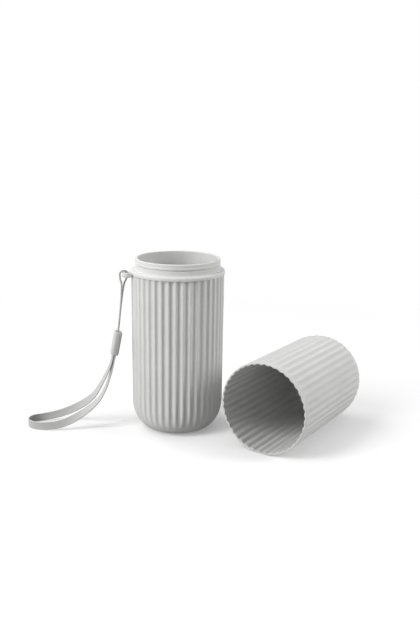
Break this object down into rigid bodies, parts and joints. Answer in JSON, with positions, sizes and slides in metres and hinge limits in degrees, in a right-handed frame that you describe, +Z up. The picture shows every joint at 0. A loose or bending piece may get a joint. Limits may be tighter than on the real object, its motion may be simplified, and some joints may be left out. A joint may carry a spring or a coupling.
{
  "type": "toothbrush travel case",
  "caption": "Fluted capsule case for a toothbrush: an upright cup with a smooth lipped neck ring, a matching pull-off cap lying beside it, and a wrist lanyard on a lug.",
  "frame": {"origin": "middle of the cup's foot, on the table that the cup stands on", "axes": "+Z up along the cup's axis, +X to the right and +Y away from a viewer who has the lug at the left and the lying cap's mouth towards the left front"},
  "size_m": [0.2147, 0.1019, 0.1096],
  "materials": {
    "fluted_plastic": "matt, light grey",
    "smooth_plastic": "satin, light grey",
    "string": "braided, light grey",
    "sleeve_plastic": "matt, light grey",
    "strap": "woven, light grey"
  },
  "bodies": {
    "cup": {"cup_shell": "fluted_plastic", "neck_ring": "smooth_plastic"},
    "cap": {"cap_shell": "fluted_plastic"},
    "lanyard": {"lanyard_string": "string", "lanyard_sleeve": "sleeve_plastic", "wrist_strap": "strap"}
  },
  "joints": [
    {"name": "cap_pull", "type": "slide", "parent": "cup", "child": "cap", "axis": [0.5358, 0.8443, 0], "range_m": [0, 0.09]},
    {"name": "lanyard_swing", "type": "hinge", "parent": "cup", "child": "lanyard", "pos_m": [-0.03299, -0.00822, 0.09975], "axis": [-0.2419, 0.9703, 0], "range_deg": [0, 90]}
  ]
}
